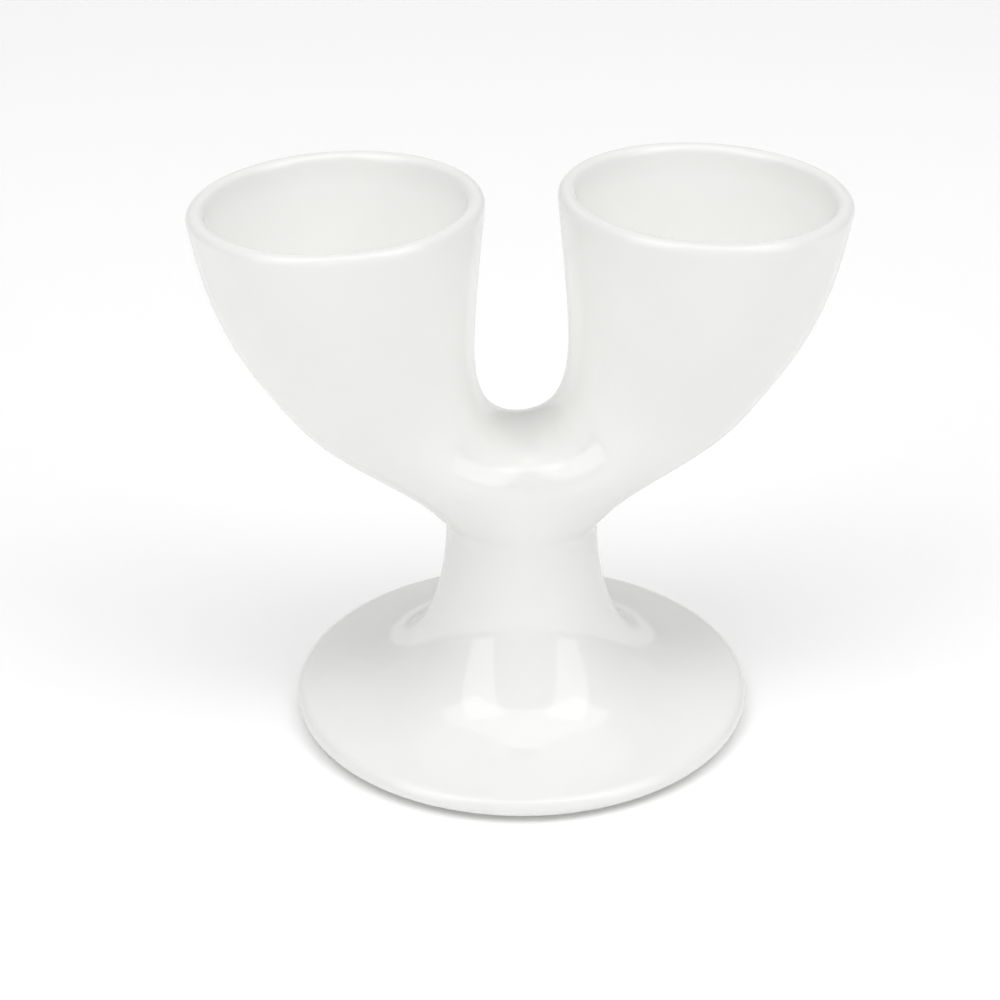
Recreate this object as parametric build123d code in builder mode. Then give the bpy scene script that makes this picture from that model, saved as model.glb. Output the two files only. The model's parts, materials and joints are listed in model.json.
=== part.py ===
from build123d import *
import os

# Double egg cup: two bowls on a Y-shaped yoke, a hollow stem and one round foot.
# Millimetres, +Z up. Origin on the table, on the stem's axis; the bowls stand apart along X.

# ---- driving dimensions ----
# bowls
cup_diameter = 52.6         # outside of a rim, before its lip is rounded
cup_gap = 12.6              # clear space between the two rims
cup_height = 37.8           # from the seat on the yoke to the rim
cup_wall = 3.1
rim_lean = 2.0              # degrees that each mouth leans outwards
lip_radius = 1.5
floor_thickness = 4.0
well_bottom_radius = 10.0   # rounding between a bowl's floor and its wall
# yoke
yoke_height = 26.5          # from the neck to the seats of the bowls
seat_diameter = 36.6        # round section of a limb where its bowl begins
seat_gap = 14.6             # clear space between the limbs there
crotch_radius = 7.3
body_wall = 4.4             # cast wall of the yoke, the stem and the foot
root_offset = 0.3           # each limb's own axis at the neck, off the stem's axis
# stem and foot
neck_height = 38.8
neck_diameter = 28.0
stem_height = 24.8          # of the neck height, the part above the seam with the foot
foot_diameter = 86.2
foot_edge_radius = 1.8
flare_reach = 19.0          # how far the flare stays low, in from the foot's edge
flare_rise = 21.8           # how far the flare stays close to the stem, down from the neck
flare_slack = 0.6           # how much wider than the neck it has become there
ring_height = 1.0           # bare standing ring under the foot
ring_width = 3.0

# ---- derived sizes ----
neck_radius = neck_diameter / 2
cup_radius = cup_diameter / 2
seat_radius = seat_diameter / 2
cup_offset = cup_radius + cup_gap / 2
seat_offset = seat_radius + seat_gap / 2
seat_level = neck_height + yoke_height
rim_level = seat_level + cup_height
foot_seam = neck_height - stem_height
foot_edge_level = ring_height + foot_edge_radius
foot_top_level = foot_edge_level + foot_edge_radius
foot_flat_radius = foot_diameter / 2 - foot_edge_radius
hollow_radius = foot_flat_radius - body_wall

# How a limb grows: share of the height, of the way outwards, of the growth in radius.
yoke_growth = ((0.00, 0.00, 0.00), (0.09, 0.055, 0.04), (0.23, 0.17, 0.13), (0.53, 0.53, 0.55),
               (0.75, 0.81, 0.74), (1.00, 1.00, 1.00))
cup_growth = ((0.29, 0.60, 0.375), (0.635, 0.90, 0.75), (1.00, 1.00, 1.00))
section_steps = 14


def limb_sections():
    """Offset along X, radius and height of each round section, evenly spaced from neck to rim."""
    root_radius = neck_radius - root_offset
    key_sections = [(root_offset + (seat_offset - root_offset) * out,
                     root_radius + (seat_radius - root_radius) * growth,
                     neck_height + yoke_height * rise)
                    for rise, out, growth in yoke_growth]
    key_sections += [(seat_offset + (cup_offset - seat_offset) * out,
                      seat_radius + (cup_radius - seat_radius) * growth,
                      seat_level + cup_height * rise)
                     for rise, out, growth in cup_growth]
    course = Spline(*key_sections)
    return [tuple(course @ (step / section_steps)) for step in range(section_steps + 1)]


def limb(inset=0):
    """The right-hand limb with its bowl as one solid, its skin moved in by inset."""
    with BuildPart() as solid:
        for offset_x, radius, level in sections:
            lean = rim_lean * max(0, (level - seat_level) / cup_height) ** 2
            with BuildSketch(Plane((offset_x, 0, level)).rotated((0, lean, 0))):
                Circle(radius - inset)
        loft()
    return solid.part


def flare_points(edge_level, inset=0):
    """Bezier control points of the flare, from the foot's edge up to the neck, moved in by inset."""
    flat_radius = foot_flat_radius - inset
    return [(flat_radius, edge_level),
            (flat_radius - flare_reach, edge_level + flare_slack),
            (neck_radius + flare_slack - inset, neck_height - flare_rise - inset),
            (neck_radius - inset, neck_height)]


# ---- bowls ----
sections = limb_sections()
seat_plane = Plane.XY.offset(seat_level)
limb_solid = limb()

with BuildPart() as well:
    add(limb(cup_wall))
    extrude(well.faces().sort_by(Axis.Z)[-1], amount=lip_radius)
    split(bisect_by=seat_plane.offset(floor_thickness), keep=Keep.TOP)
    fillet(well.edges().group_by(Axis.Z)[0], well_bottom_radius)

with BuildPart() as right_cup:
    add(limb_solid)
    split(bisect_by=seat_plane, keep=Keep.TOP)
    add(well.part, mode=Mode.SUBTRACT)
    fillet(right_cup.edges().group_by(Axis.Z)[-1], lip_radius)

with BuildPart() as left_cup:
    add(right_cup.part.mirror(Plane.YZ))

# ---- yoke ----
with BuildPart() as yoke:
    add(limb_solid)
    add(limb_solid.mirror(Plane.YZ))
    fillet(yoke.edges().filter_by_position(Axis.X, -root_offset / 10, root_offset / 10), crotch_radius)
    split(bisect_by=seat_plane, keep=Keep.BOTTOM)
    cavity = limb(body_wall)
    add(cavity, mode=Mode.SUBTRACT)
    add(cavity.mirror(Plane.YZ), mode=Mode.SUBTRACT)

# ---- stem and foot ----
with BuildPart() as pedestal:
    with BuildSketch(Plane.XZ):
        with BuildLine():
            outer = Bezier(*flare_points(foot_top_level))
            edge = ThreePointArc(outer @ 0, (foot_diameter / 2, foot_edge_level),
                                 (foot_flat_radius, ring_height))
            inner = Bezier(*flare_points(ring_height, body_wall))
            Line(edge @ 1, inner @ 0)
            Line(inner @ 1, outer @ 1)
        make_face()
    revolve(axis=Axis.Z)

seam_plane = Plane.XY.offset(foot_seam)
with BuildPart() as stem:
    add(pedestal.part)
    split(bisect_by=seam_plane, keep=Keep.TOP)

with BuildPart() as foot:
    add(pedestal.part)
    split(bisect_by=seam_plane, keep=Keep.BOTTOM)

with BuildPart() as foot_ring:
    with BuildSketch():
        Circle(hollow_radius + ring_width)
        Circle(hollow_radius, mode=Mode.SUBTRACT)
    extrude(amount=ring_height)

# ---- export ----
os.makedirs("parts", exist_ok=True)
pieces = {"left_cup": left_cup, "right_cup": right_cup, "yoke": yoke, "stem": stem,
          "foot": foot, "foot_ring": foot_ring}
for name, piece in pieces.items():
    piece.part.label = name
    export_step(piece.part, f"parts/{name}.step")
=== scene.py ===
"""Double egg cup in white glazed porcelain, seen from the front and a little above."""
import json
import math

import bmesh
import bpy
import numpy as np
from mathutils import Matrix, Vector


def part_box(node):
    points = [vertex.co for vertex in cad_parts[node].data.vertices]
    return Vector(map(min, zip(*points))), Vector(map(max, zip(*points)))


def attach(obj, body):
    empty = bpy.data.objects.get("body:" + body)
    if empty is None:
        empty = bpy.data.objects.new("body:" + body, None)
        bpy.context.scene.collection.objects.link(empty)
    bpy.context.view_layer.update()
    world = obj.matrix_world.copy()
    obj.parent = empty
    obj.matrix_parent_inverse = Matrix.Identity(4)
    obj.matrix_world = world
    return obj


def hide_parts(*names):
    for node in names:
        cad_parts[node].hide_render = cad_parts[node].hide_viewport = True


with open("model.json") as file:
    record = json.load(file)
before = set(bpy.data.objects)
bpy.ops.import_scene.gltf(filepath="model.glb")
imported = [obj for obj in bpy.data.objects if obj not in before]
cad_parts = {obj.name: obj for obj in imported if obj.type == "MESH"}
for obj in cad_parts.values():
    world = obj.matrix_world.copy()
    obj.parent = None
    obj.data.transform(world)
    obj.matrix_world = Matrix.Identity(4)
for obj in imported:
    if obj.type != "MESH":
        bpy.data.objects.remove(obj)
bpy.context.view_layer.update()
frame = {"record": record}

# ---- sizes, in metres ----
MM = 0.001
neck_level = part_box("stem")[1].z
seat_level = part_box("yoke")[1].z
foot_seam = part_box("stem")[0].z
ring_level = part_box("foot_ring")[1].z
foot_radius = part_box("foot")[1].x
ring_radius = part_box("foot_ring")[1].x
seat_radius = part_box("yoke")[1].y
seat_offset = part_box("yoke")[1].x - seat_radius
mouth = {m["name"]: m for m in frame["record"]["mounts"]}["right_egg_seat"]
cup_offset, _, rim_level = mouth["pos_m"]
rim_lean = math.atan2(mouth["axis"][0], mouth["axis"][2])

cup_wall = 3.1 * MM
cup_radius = mouth["dims"]["r_mm"] * MM + cup_wall
floor_thickness = 4.0 * MM
well_bottom_radius = 10.0 * MM
body_wall = 4.4 * MM
neck_radius = 14.0 * MM
root_radius = 12.2 * MM
root_offset = 0.3 * MM
ring_width = 3.0 * MM
edge_radius = 1.8 * MM
flare_reach = 19.0 * MM
flare_rise = 21.8 * MM
flare_slack = 0.6 * MM
crotch_blend = 19.0 * MM
blend_start = 1.0 * MM          # how far apart the limbs are where the crotch's blend sets in
blend_end = 19.0 * MM
neck_blend = 3.0 * MM
neck_zone = 9.0 * MM            # how far below the neck the blend still moves the stem's skin
bevel = 0.35 * MM               # on the standing ring
edge_level = ring_level + edge_radius

# above the neck the stem narrows inside the yoke and is gone well below the saddle
stem_top = neck_level + np.array((3, 6, 9, 40)) * MM
stem_top_radii = np.array((13.7, 12.6, 9.0, -50.0)) * MM

# ---- counts ----
COLUMNS = 96                    # points in a row
CUP_ROWS = 44
LIP_ROWS = 12
WELL_ROWS = 30
DOME_ROWS = 16
YOKE_ROWS = 48
FOOT_ROWS = 36
STEM_ROWS = 40
EDGE_ROWS = 12
CAVITY_START = 6                # rows of the yoke above its cavity
HALVINGS = 40
RELAX_ROUNDS = 60

# how a limb grows: share of the height, of the way outwards, of the growth in radius
YOKE_GROWTH = ((0.00, 0.00, 0.00), (0.09, 0.055, 0.24), (0.23, 0.17, 0.38), (0.53, 0.53, 0.64),
               (0.75, 0.81, 0.81), (1.00, 1.00, 1.00))
CUP_GROWTH = ((0.29, 0.60, 0.375), (0.635, 0.90, 0.75), (1.00, 1.00, 1.00))


# ---- curves ----
class Spline:
    """A natural cubic spline through values at knots, carried on straight beyond its ends."""

    def __init__(self, knots, values):
        self.x, self.y = np.array(knots), np.array(values)
        self.h = np.diff(self.x)
        slope = np.diff(self.y) / self.h
        count = len(self.x)
        rows, right = np.eye(count), np.zeros(count)
        for i in range(1, count - 1):
            rows[i, i - 1:i + 2] = self.h[i - 1], 2 * (self.h[i - 1] + self.h[i]), self.h[i]
            right[i] = 6 * (slope[i] - slope[i - 1])
        self.bend = np.linalg.solve(rows, right)
        self.ends = (slope[0] - self.h[0] * self.bend[1] / 6, slope[-1] + self.h[-1] * self.bend[-2] / 6)

    def __call__(self, at):
        at = np.asarray(at, float)
        t = np.clip(at, self.x[0], self.x[-1])
        i = np.clip(np.searchsorted(self.x, t) - 1, 0, len(self.h) - 1)
        h, low, high = self.h[i], t - self.x[i], self.x[i + 1] - t
        value = ((self.bend[i] * high ** 3 + self.bend[i + 1] * low ** 3) / (6 * h)
                 + (self.y[i] / h - self.bend[i] * h / 6) * high
                 + (self.y[i + 1] / h - self.bend[i + 1] * h / 6) * low)
        below, above = np.minimum(at - self.x[0], 0), np.maximum(at - self.x[-1], 0)
        return value + below * self.ends[0] + above * self.ends[1]


def bezier(points, t):
    """Points along a cubic Bezier curve at the shares t of its way."""
    t = np.reshape(t, (-1, 1))
    a, b, c, d = (np.array(p) for p in points)
    return a * (1 - t) ** 3 + 3 * b * t * (1 - t) ** 2 + 3 * c * t ** 2 * (1 - t) + d * t ** 3


def flare_rows(points):
    """Points from the foot's edge up to the neck, with FOOT_ROWS of them below the seam and one on it."""
    low, high = 0.0, 1.0
    for _ in range(HALVINGS):
        middle = (low + high) / 2
        low, high = (middle, high) if bezier(points, middle)[0, 1] < foot_seam else (low, middle)
    return bezier(points, np.concatenate([np.linspace(0, low, FOOT_ROWS + 1),
                                          np.linspace(low, 1, STEM_ROWS + 1)[1:]]))


def limb_keys():
    """Height, offset and radius of the limb's key sections, from the neck to the rim."""
    keys = [(neck_level + (seat_level - neck_level) * rise,
             root_offset + (seat_offset - root_offset) * out,
             root_radius + (seat_radius - root_radius) * growth) for rise, out, growth in YOKE_GROWTH]
    keys += [(seat_level + (rim_level - seat_level) * rise,
              seat_offset + (cup_offset - seat_offset) * out,
              seat_radius + (cup_radius - seat_radius) * growth) for rise, out, growth in CUP_GROWTH]
    return list(zip(*keys))


levels, offsets, radii = limb_keys()
limb_offset = Spline(levels, offsets)
limb_radius = Spline(levels, radii)


# ---- the skin as a level set: limbs and stem flow into each other ----
def limb_field(x, y, z):
    """Roughly the distance to the right-hand limb's skin, negative inside."""
    step = 0.05 * MM
    offset, radius = limb_offset(z), limb_radius(z)
    lean = (limb_offset(z + step) - offset) / step
    swell = (limb_radius(z + step) - radius) / step
    out = np.hypot(x - offset, y) + 1e-9
    return (out - radius) / np.sqrt(1 + ((x - offset) / out * lean + swell) ** 2)


def flare_points(start_level, inset=0.0):
    """Bezier control points of the foot's flare, from its edge up to the neck."""
    flat = foot_radius - edge_radius - inset
    return [(flat, start_level), (flat - flare_reach, start_level + flare_slack),
            (neck_radius + flare_slack - inset, neck_level - flare_rise - inset),
            (neck_radius - inset, neck_level)]


flare = flare_rows(flare_points(edge_level + edge_radius))


def stem_radius(z):
    """Radius of the stem at a height; above the neck it shrinks away inside the yoke."""
    heights = np.concatenate([flare[FOOT_ROWS:, 1], stem_top])
    widths = np.concatenate([flare[FOOT_ROWS:, 0], stem_top_radii])
    return np.interp(z, heights, widths)


def smooth_min(a, b, reach):
    """The smaller of two fields, rounded off where they differ by less than reach."""
    near = np.maximum(reach - np.abs(a - b), 0) / reach
    return np.minimum(a, b) - near ** 3 * reach / 6


def skin_field(p):
    """Roughly the distance to the whole skin, negative inside.

    The blend in the crotch reaches further where the limbs stand further apart."""
    x, y, z = p[..., 0], p[..., 1], p[..., 2]
    apart = np.clip((limb_offset(z) - blend_start) / (blend_end - blend_start), 0.001, 1)
    crotch = crotch_blend * apart ** 2 * (3 - 2 * apart)
    limbs = smooth_min(limb_field(x, y, z), limb_field(-x, y, z), crotch)
    step = 0.3 * MM
    taper = (stem_radius(z + step) - stem_radius(z - step)) / (2 * step)
    stem = (np.hypot(x, y) + 1e-9 - stem_radius(z)) / np.sqrt(1 + taper ** 2)
    return smooth_min(limbs, stem, neck_blend)


def skin_gradient(p):
    step = 0.02 * MM
    return np.stack([(skin_field(p + d) - skin_field(p - d)) / (2 * step)
                     for d in np.eye(3) * step], axis=-1)


def settle(p, keep=(), rounds=8):
    """Moves points along the gradient onto the skin, holding the axes in keep."""
    for _ in range(rounds):
        gradient = skin_gradient(p)
        gradient[..., list(keep)] = 0
        square = np.maximum((gradient ** 2).sum(-1), 1e-4)
        p = p - (skin_field(p) / square)[..., None] * gradient
    return p


def cast(origin, direction, reach):
    """Where rays from a point inside leave the skin, by halving."""
    low, high = np.zeros(len(direction)), np.full(len(direction), reach)
    for _ in range(HALVINGS):
        middle = (low + high) / 2
        inside = skin_field(origin + direction * middle[:, None]) < 0
        low, high = np.where(inside, middle, low), np.where(inside, high, middle)
    return origin + direction * low[:, None]


# ---- grids of points, one row after another, COLUMNS points in each ----
turn = np.arange(COLUMNS) * 2 * math.pi / COLUMNS
quarter = COLUMNS // 4


def rings(rows):
    """Rows of level circles from (offset, radius, height) triples."""
    return np.array([np.stack([offset + radius * np.cos(turn), radius * np.sin(turn),
                               np.full(COLUMNS, height)], axis=1) for offset, radius, height in rows])


def lathe(profile):
    """Rows of level circles about the stem's axis from (radius, height) pairs."""
    return rings([(0.0, radius, height) for radius, height in profile])


def cup_grid():
    """Outside of the right bowl from its seat, over the lip and down the well; the last row is its bottom."""
    lip = cup_wall / 2
    flare_angle = math.atan2(float(limb_radius(rim_level)) - float(limb_radius(rim_level - MM)), MM)
    lip_level = rim_level - lip
    wall_top = lip_level - lip * math.sin(flare_angle)
    outer = [(limb_offset(z), limb_radius(z), z) for z in np.linspace(seat_level, wall_top, CUP_ROWS + 1)]
    outside = rings(outer)
    outside[:CUP_ROWS // 2] = settle(outside[:CUP_ROWS // 2], keep=(2,))
    centre = float(limb_radius(wall_top)) - lip * math.cos(flare_angle)
    arc = np.linspace(-flare_angle, math.pi - flare_angle, LIP_ROWS + 1)[1:]
    over = [(limb_offset(lip_level), centre + lip * math.cos(a), lip_level + lip * math.sin(a)) for a in arc]
    dome_level = seat_level + floor_thickness + well_bottom_radius
    down = np.linspace(over[-1][2], dome_level, WELL_ROWS + 1)[1:]
    gap = float(limb_radius(over[-1][2])) - over[-1][1]
    inner = [(limb_offset(z), limb_radius(z) - gap, z) for z in down]
    flat = inner[-1][1] - well_bottom_radius
    for a in np.linspace(0, math.pi / 2, DOME_ROWS + 1)[1:]:
        z = dome_level - well_bottom_radius * math.sin(a)
        inner.append((limb_offset(z), flat + well_bottom_radius * math.cos(a), z))
    inner += [(inner[-1][0], flat * share, inner[-1][2]) for share in (0.7, 0.4, 0.15)]
    rows = np.concatenate([outside, rings(over), rings(inner)])
    bottom = np.array([float(limb_offset(seat_level + floor_thickness)), 0, seat_level + floor_thickness])
    rise = np.clip((rows[..., 2] - seat_level) / (rim_level - seat_level), 0, 1.1)
    rows[..., 2] -= (rows[..., 0] - cup_offset) * math.tan(rim_lean) * rise ** 2
    return rows, bottom


def yoke_grid():
    """Outside of the yoke's right half, from the seat down to the neck and the plane between the limbs."""
    seat = settle(rings([(seat_offset, seat_radius, seat_level)]), keep=(2,))[0]
    hub = np.array([0, 0, neck_level])
    last_row = cast(hub, np.stack([np.cos(turn), np.sin(turn), 0 * turn], 1), 2 * neck_radius)
    arch = np.linspace(0, math.pi, 2 * quarter + 1)
    saddle = cast(hub, np.stack([0 * arch, np.cos(arch), np.sin(arch)], 1), 4 * neck_radius)
    last_row[quarter:3 * quarter + 1] = saddle
    # where each column of the limb meets the neck's level or the middle plane
    low, high = np.full(COLUMNS, neck_level), np.full(COLUMNS, seat_level)
    for _ in range(HALVINGS):
        middle = (low + high) / 2
        across = limb_offset(middle) + limb_radius(middle) * np.cos(turn) < 0
        low, high = np.where(across, middle, low), np.where(across, high, middle)
    grid = np.empty((YOKE_ROWS + 1, COLUMNS, 3))
    for row, share in enumerate(np.linspace(0, 1, YOKE_ROWS + 1)):
        z = seat_level + (low - seat_level) * share
        grid[row] = np.stack([limb_offset(z) + limb_radius(z) * np.cos(turn),
                              limb_radius(z) * np.sin(turn), z], 1)
    grid += (last_row - grid[-1]) * (np.linspace(0, 1, YOKE_ROWS + 1) ** 2)[:, None, None]
    grid[0], grid[-1] = seat, last_row
    for _ in range(RELAX_ROUNDS):
        mean = (grid[:-2] + grid[2:] + np.roll(grid, 1, 1)[1:-1] + np.roll(grid, -1, 1)[1:-1]) / 4
        grid[1:-1] = settle(mean, rounds=2)
    grid[1:-1] = settle(grid[1:-1])
    return grid


def stem_grid(neck_row):
    """Outside of the stem and foot down to the standing ring, starting from the yoke's lowest row."""
    profile = flare[::-1]
    rows = lathe(profile)
    rows[0] = neck_row
    near = [i for i in range(1, len(profile)) if profile[i][1] > neck_level - neck_zone]
    rows[near] = settle(rows[near], keep=(2,))
    edge = [(foot_radius - edge_radius + edge_radius * math.cos(a), edge_level + edge_radius * math.sin(a))
            for a in np.linspace(math.pi / 2, -math.pi / 2, EDGE_ROWS + 1)[1:]]
    return np.concatenate([rows, lathe(edge), lathe([(ring_radius, ring_level)])])


def hollow_grid(neck_row):
    """Underside of the foot and the bore, from the standing ring up to the neck."""
    rows = lathe(flare_rows(flare_points(ring_level, body_wall)))
    rows[-1] = neck_row
    return rows


def ring_grid():
    """The bare standing ring, from the foot's outside round to its hollow."""
    inner = ring_radius - ring_width
    outside = [(ring_radius, ring_level), (ring_radius, bevel), (ring_radius - bevel * 0.3, bevel * 0.3),
               (ring_radius - bevel, 0.0)]
    inside = [(inner + bevel, 0.0), (inner + bevel * 0.3, bevel * 0.3), (inner, bevel), (inner, ring_level)]
    middle = [(ring_radius - ring_width * share, 0.0) for share in (0.33, 0.5, 0.67)]
    return lathe(outside + middle + inside)


def cavity_grid(yoke, normals):
    """The hollow inside the yoke's right half: the outside moved in by the wall."""
    rows = yoke - normals * body_wall
    flat = np.hypot(yoke[-1, :, 0], yoke[-1, :, 1])[:, None]
    on_neck = np.r_[0:quarter + 1, 3 * quarter:COLUMNS]
    rows[-1, on_neck] = yoke[-1, on_neck] * (1 - body_wall / np.maximum(flat[on_neck], MM))
    rows[-1, on_neck, 2] = neck_level
    rows[-1, quarter:3 * quarter + 1, 0] = 0
    return rows[CAVITY_START:]


# ---- meshes ----
class Skin:
    """Collects quads, each marked with the piece that it belongs to."""

    def __init__(self):
        self.bm = bmesh.new()
        self.mark = self.bm.faces.layers.int.new("piece")
        # the well mark sets where the glaze is painted lighter, as painted light inside the bowls
        self.well = self.bm.verts.layers.float.new("well")
        self.names = []

    def number(self, name):
        if name not in self.names:
            self.names.append(name)
        return self.names.index(name)

    def add(self, grid, name, close=None, mirror=False, well_row=None):
        """Quads between each two rows, and a fan of triangles to the point close if it is given.

        From well_row on, the points are marked as lying inside a well."""
        flip = np.array([-1, 1, 1]) if mirror else np.array([1, 1, 1])
        verts = [[self.bm.verts.new(p * flip) for p in row] for row in grid]
        if well_row is not None:
            for row, ring in enumerate(verts[well_row:]):
                for vert in ring:
                    vert[self.well] = min(1, row / LIP_ROWS)
        faces = [[a[i], a[(i + 1) % COLUMNS], b[(i + 1) % COLUMNS], b[i]]
                 for a, b in zip(verts, verts[1:]) for i in range(COLUMNS)]
        if close is not None:
            tip = self.bm.verts.new(close * flip)
            tip[self.well] = verts[-1][0][self.well]
            faces += [[verts[-1][i], verts[-1][(i + 1) % COLUMNS], tip] for i in range(COLUMNS)]
        for corners in faces:
            self.bm.faces.new(corners)[self.mark] = self.number(name)


def build_skin():
    """The whole skin, outside and inside, welded where its pieces meet."""
    skin = Skin()
    cup, well_bottom = cup_grid()
    yoke = yoke_grid()
    cup[0] = yoke[0]
    normals = skin_gradient(yoke)
    normals /= np.linalg.norm(normals, axis=-1)[..., None]
    cavity = cavity_grid(yoke, normals)
    whole_neck = yoke[-1].copy()
    whole_inner = cavity[-1].copy()
    for row in (whole_neck, whole_inner):
        row[quarter:3 * quarter + 1] = row[np.arange(quarter, -quarter - 1, -1)] * [-1, 1, 1]
    for side, mirror in (("right", False), ("left", True)):
        skin.add(cup, f"{side}_cup", close=well_bottom, mirror=mirror, well_row=CUP_ROWS + LIP_ROWS // 2)
        skin.add(yoke, "yoke", mirror=mirror)
        skin.add(cavity[::-1], "yoke", close=cavity[0].mean(0), mirror=mirror)
    outside, hollow = stem_grid(whole_neck), hollow_grid(whole_inner)
    skin.add(outside[:STEM_ROWS + 1], "stem")
    skin.add(outside[STEM_ROWS:], "foot")
    skin.add(ring_grid(), "foot_ring")
    skin.add(hollow[:FOOT_ROWS + 1], "foot")
    skin.add(hollow[FOOT_ROWS:], "stem")
    bmesh.ops.remove_doubles(skin.bm, verts=skin.bm.verts, dist=0.002 * MM)
    bmesh.ops.recalc_face_normals(skin.bm, faces=skin.bm.faces)
    return skin


def seam_loops(verts):
    """The loops that one level's boundary points form, as (centre, points in order of angle)."""
    left, loops = set(verts), []
    for start in verts:
        if start not in left:
            continue
        left.remove(start)
        stack, loop = [start], []
        while stack:
            vert = stack.pop()
            loop.append(vert)
            for edge in vert.link_edges:
                other = edge.other_vert(vert)
                if edge.is_boundary and other in left:
                    left.remove(other)
                    stack.append(other)
        centre = sum((v.co for v in loop), Vector()) / len(loop)
        loop.sort(key=lambda v: round(math.atan2(v.co.y - centre.y, v.co.x - centre.x)
                                      * COLUMNS / (2 * math.pi)) % COLUMNS)
        loops.append((centre, loop))
    return loops


def cap_seams(bm):
    """Closes a piece where it meets its neighbours: a flat ring between two loops about the
    middle axis, otherwise a disc on each loop."""
    levels = {}
    for vert in [v for v in bm.verts if v.is_boundary]:
        levels.setdefault(round(vert.co.z / (0.01 * MM)), []).append(vert)
    caps = []
    for verts in levels.values():
        loops = seam_loops(verts)
        if len(loops) == 2 and (loops[0][0] - loops[1][0]).length < MM:
            (_, one), (_, two) = loops
            caps += [bm.faces.new([one[i - 1], one[i], two[i], two[i - 1]]) for i in range(COLUMNS)]
        else:
            caps += [bm.faces.new(loop) for _, loop in loops]
    return caps


def piece_mesh(skin, name):
    """One closed piece of the skin, shaded with the whole skin's normals so that no seam shows."""
    number = skin.names.index(name)
    bm = skin.bm.copy()
    mark = bm.faces.layers.int["piece"]
    bm.verts.ensure_lookup_table()
    whole = {v.index: v.normal.copy() for v in bm.verts}
    origin = bm.verts.layers.int.new("origin")
    for v in bm.verts:
        v[origin] = v.index
    bmesh.ops.delete(bm, geom=[f for f in bm.faces if f[mark] != number], context="FACES")
    caps = set(cap_seams(bm))
    bmesh.ops.recalc_face_normals(bm, faces=bm.faces)
    for face in bm.faces:
        face.smooth = True
    bm.normal_update()
    normals = [tuple(face.normal if face in caps else whole[loop.vert[origin]])
               for face in bm.faces for loop in face.loops]
    mesh = bpy.data.meshes.new(name)
    bm.to_mesh(mesh)
    bm.free()
    mesh.normals_split_custom_set(normals)
    return mesh


skin = build_skin()
skin.bm.normal_update()
pieces = {}
for name in skin.names:
    piece = bpy.data.objects.new(f"{name}_body", piece_mesh(skin, name))
    bpy.context.collection.objects.link(piece)
    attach(piece, "root")
    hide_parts(name)
    pieces[name] = piece
skin.bm.free()


# ---- materials ----
outside_tones = (0.855, 0.86, 0.84, 1), (0.88, 0.88, 0.865, 1)
# painted light: a lighter copy of the glaze for the wells, standing in for the brighter light inside the
# bowls
well_painted_light_tones = (0.96, 0.965, 0.95, 1), (0.98, 0.98, 0.965, 1)
bisque_tones = (0.70, 0.68, 0.62, 1), (0.82, 0.80, 0.75, 1)
paper_white = (0.97, 0.97, 0.97, 1)
tone_scale, gloss_scale, wave_scale, grain_scale = 38, 60, 85, 1800


def new_material(name):
    material = bpy.data.materials.new(name)
    material.use_nodes = True
    return material, material.node_tree.nodes, material.node_tree.links


def glaze():
    """Clear glossy glaze on white porcelain, painted lighter in the wells as painted light for the brighter
    light inside the bowls, with a slow drift in tone and gloss and the faint waves of a poured glaze."""
    material, nodes, links = new_material("porcelain_glaze")
    shader = nodes["Principled BSDF"]
    shader.inputs["IOR"].default_value = 1.5
    where = nodes.new("ShaderNodeTexCoord")

    def noise(scale, detail):
        node = nodes.new("ShaderNodeTexNoise")
        node.inputs["Scale"].default_value = scale
        node.inputs["Detail"].default_value = detail
        links.new(where.outputs["Object"], node.inputs["Vector"])
        return node.outputs["Fac"]

    def ramp(factor, low, high):
        node = nodes.new("ShaderNodeValToRGB")
        node.color_ramp.elements[0].position, node.color_ramp.elements[1].position = 0.3, 0.7
        node.color_ramp.elements[0].color, node.color_ramp.elements[1].color = low, high
        links.new(factor, node.inputs["Fac"])
        return node.outputs["Color"]

    tone = noise(tone_scale, 3)
    # the well mark mixes in the lighter tones, painted light inside the bowls
    well = nodes.new("ShaderNodeAttribute")
    well.attribute_name = "well"
    colour = nodes.new("ShaderNodeMix")
    colour.data_type = "RGBA"
    links.new(well.outputs["Fac"], colour.inputs["Factor"])
    links.new(ramp(tone, *outside_tones), colour.inputs[6])
    links.new(ramp(tone, *well_painted_light_tones), colour.inputs[7])
    links.new(colour.outputs[2], shader.inputs["Base Color"])

    gloss = nodes.new("ShaderNodeMapRange")
    gloss.inputs["To Min"].default_value = 0.03
    gloss.inputs["To Max"].default_value = 0.08
    links.new(noise(gloss_scale, 2), gloss.inputs["Value"])
    links.new(gloss.outputs["Result"], shader.inputs["Roughness"])

    # the gloss fades where the surface turns away, so that white paper doesn't wash out the outline
    facing = nodes.new("ShaderNodeLayerWeight")
    sheen = nodes.new("ShaderNodeMapRange")
    sheen.inputs["From Min"].default_value = 0.55
    sheen.inputs["From Max"].default_value = 0.95
    sheen.inputs["To Min"].default_value = 0.5
    sheen.inputs["To Max"].default_value = 0.0
    links.new(facing.outputs["Facing"], sheen.inputs["Value"])
    links.new(sheen.outputs["Result"], shader.inputs["Specular IOR Level"])

    bump = nodes.new("ShaderNodeBump")
    bump.inputs["Strength"].default_value = 0.08
    bump.inputs["Distance"].default_value = 0.6 * MM
    links.new(noise(wave_scale, 2), bump.inputs["Height"])
    links.new(bump.outputs["Normal"], shader.inputs["Normal"])
    return material


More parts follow.
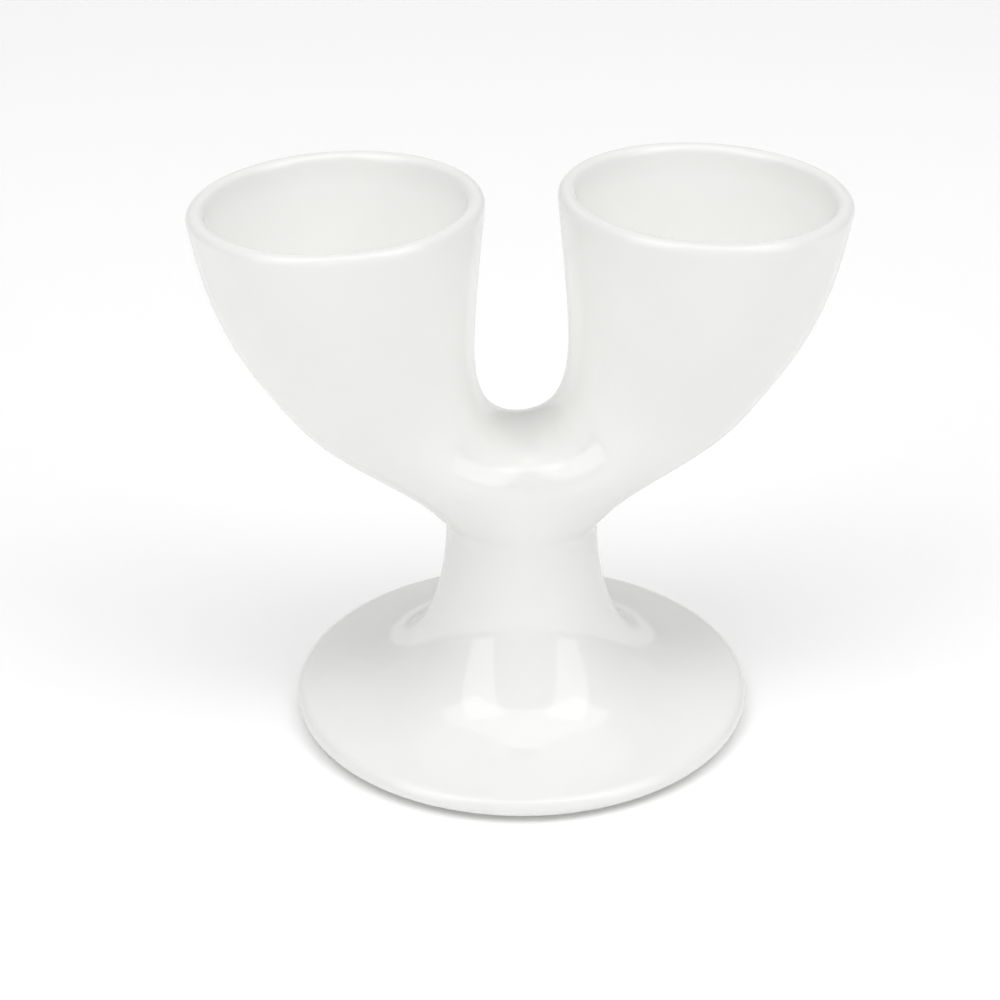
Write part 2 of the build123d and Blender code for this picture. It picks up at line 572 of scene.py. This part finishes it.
def bisque():
    """Bare fired porcelain: matt, with fine grain."""
    material, nodes, links = new_material("bare_bisque")
    shader = nodes["Principled BSDF"]
    shader.inputs["Roughness"].default_value = 0.75
    where = nodes.new("ShaderNodeTexCoord")
    grain = nodes.new("ShaderNodeTexNoise")
    grain.inputs["Scale"].default_value = grain_scale
    grain.inputs["Detail"].default_value = 4
    links.new(where.outputs["Object"], grain.inputs["Vector"])
    ramp = nodes.new("ShaderNodeValToRGB")
    ramp.color_ramp.elements[0].color, ramp.color_ramp.elements[1].color = bisque_tones
    links.new(grain.outputs["Fac"], ramp.inputs["Fac"])
    links.new(ramp.outputs["Color"], shader.inputs["Base Color"])
    bump = nodes.new("ShaderNodeBump")
    bump.inputs["Strength"].default_value = 0.4
    bump.inputs["Distance"].default_value = 0.1 * MM
    links.new(grain.outputs["Fac"], bump.inputs["Height"])
    links.new(bump.outputs["Normal"], shader.inputs["Normal"])
    return material


glaze_material, bisque_material = glaze(), bisque()
for name, piece in pieces.items():
    piece.data.materials.append(bisque_material if name == "foot_ring" else glaze_material)


# ---- stage ----
def sweep():
    """A floor that curves up into a backdrop, as one sheet of white paper."""
    front, depth, half_width, height, bend = -3.0, 1.6, 4.0, 2.4, 0.6
    profile = [(front, 0.0)] + [(depth + bend * math.sin(a), bend * (1 - math.cos(a)))
                                for a in np.linspace(0, math.pi / 2, 13)] + [(depth + bend, height)]
    bm = bmesh.new()
    rows = [[bm.verts.new((x, y, z)) for x in (-half_width, half_width)] for y, z in profile]
    for a, b in zip(rows, rows[1:]):
        bm.faces.new([a[0], a[1], b[1], b[0]])
    mesh = bpy.data.meshes.new("sweep")
    bm.to_mesh(mesh)
    bm.free()
    for polygon in mesh.polygons:
        polygon.use_smooth = True
    material, nodes, _ = new_material("white_paper")
    nodes["Principled BSDF"].inputs["Base Color"].default_value = paper_white
    nodes["Principled BSDF"].inputs["Roughness"].default_value = 0.9
    mesh.materials.append(material)
    paper = bpy.data.objects.new("sweep", mesh)
    bpy.context.collection.objects.link(paper)
    return paper


def softbox(name, place, size, power, target=(0, 0, 0.05)):
    """An area light of a given width and height that faces the target."""
    light = bpy.data.lights.new(name, "AREA")
    light.shape = "RECTANGLE"
    light.size, light.size_y = size
    light.energy = power
    lamp = bpy.data.objects.new(name, light)
    lamp.location = place
    lamp.rotation_euler = (Vector(target) - Vector(place)).to_track_quat("-Z", "Y").to_euler()
    bpy.context.collection.objects.link(lamp)
    return lamp


def dome():
    """Soft light from all around, strongest from above the camera's side."""
    world = bpy.data.worlds.new("studio")
    world.use_nodes = True
    nodes, links = world.node_tree.nodes, world.node_tree.links
    where = nodes.new("ShaderNodeTexCoord")
    facing = nodes.new("ShaderNodeVectorMath")
    facing.operation = "DOT_PRODUCT"
    facing.inputs[1].default_value = (0, -0.45, 0.89)
    spread = nodes.new("ShaderNodeMapRange")
    spread.interpolation_type = "SMOOTHSTEP"
    spread.inputs["From Min"].default_value = -0.4
    spread.inputs["From Max"].default_value = 1.0
    spread.inputs["To Min"].default_value = 0.035
    spread.inputs["To Max"].default_value = 0.35
    links.new(where.outputs["Generated"], facing.inputs[0])
    links.new(facing.outputs["Value"], spread.inputs["Value"])
    links.new(spread.outputs["Result"], nodes["Background"].inputs["Strength"])
    nodes["Background"].inputs["Color"].default_value = (1, 1, 1, 1)
    bpy.context.scene.world = world


paper = sweep()
for side in (-1, 1):
    softbox(f"window_{side}", place=(side * 0.62, -0.50, 0.60), size=(0.50, 1.18), power=2.75,
            target=(0, 0, 0.20))
softbox("front_top", place=(0.0, -0.38, 1.8), size=(3.0, 1.3), power=18.5)
back_fill = softbox("back_fill", place=(0.0, 1.2, 1.3), size=(1.6, 0.5), power=3.0)
back_fill.visible_glossy = False
# light linking keeps the floor light on the paper and off the porcelain
paper_only = bpy.data.collections.new("paper_only")
paper_only.objects.link(paper)
floor_light = softbox("floor_light", place=(0.0, 0.8, 1.9), size=(3.0, 3.0), power=6.3, target=(0, 0.8, 0))
floor_light.light_linking.receiver_collection = paper_only
dome()
bpy.context.scene.view_settings.view_transform = "Standard"


# ---- camera ----
def make_camera():
    azimuth, elevation, distance = math.radians(-4.12), math.radians(27.57), 0.4687
    focal_ratio = 2.5303            # focal length over the sensor's width
    target = Vector((0, 0, 0.0470))
    back = Vector((math.sin(azimuth) * math.cos(elevation), -math.cos(azimuth) * math.cos(elevation),
                   math.sin(elevation)))
    data = bpy.data.cameras.new("camera")
    data.sensor_width = 36
    data.lens = focal_ratio * data.sensor_width
    data.shift_x, data.shift_y = -0.0217, -0.0200
    data.clip_start, data.clip_end = 0.01, 20
    camera = bpy.data.objects.new("camera", data)
    camera.location = target + back * distance
    camera.rotation_euler = (-back).to_track_quat("-Z", "Y").to_euler()
    bpy.context.collection.objects.link(camera)
    bpy.context.scene.camera = camera


make_camera()
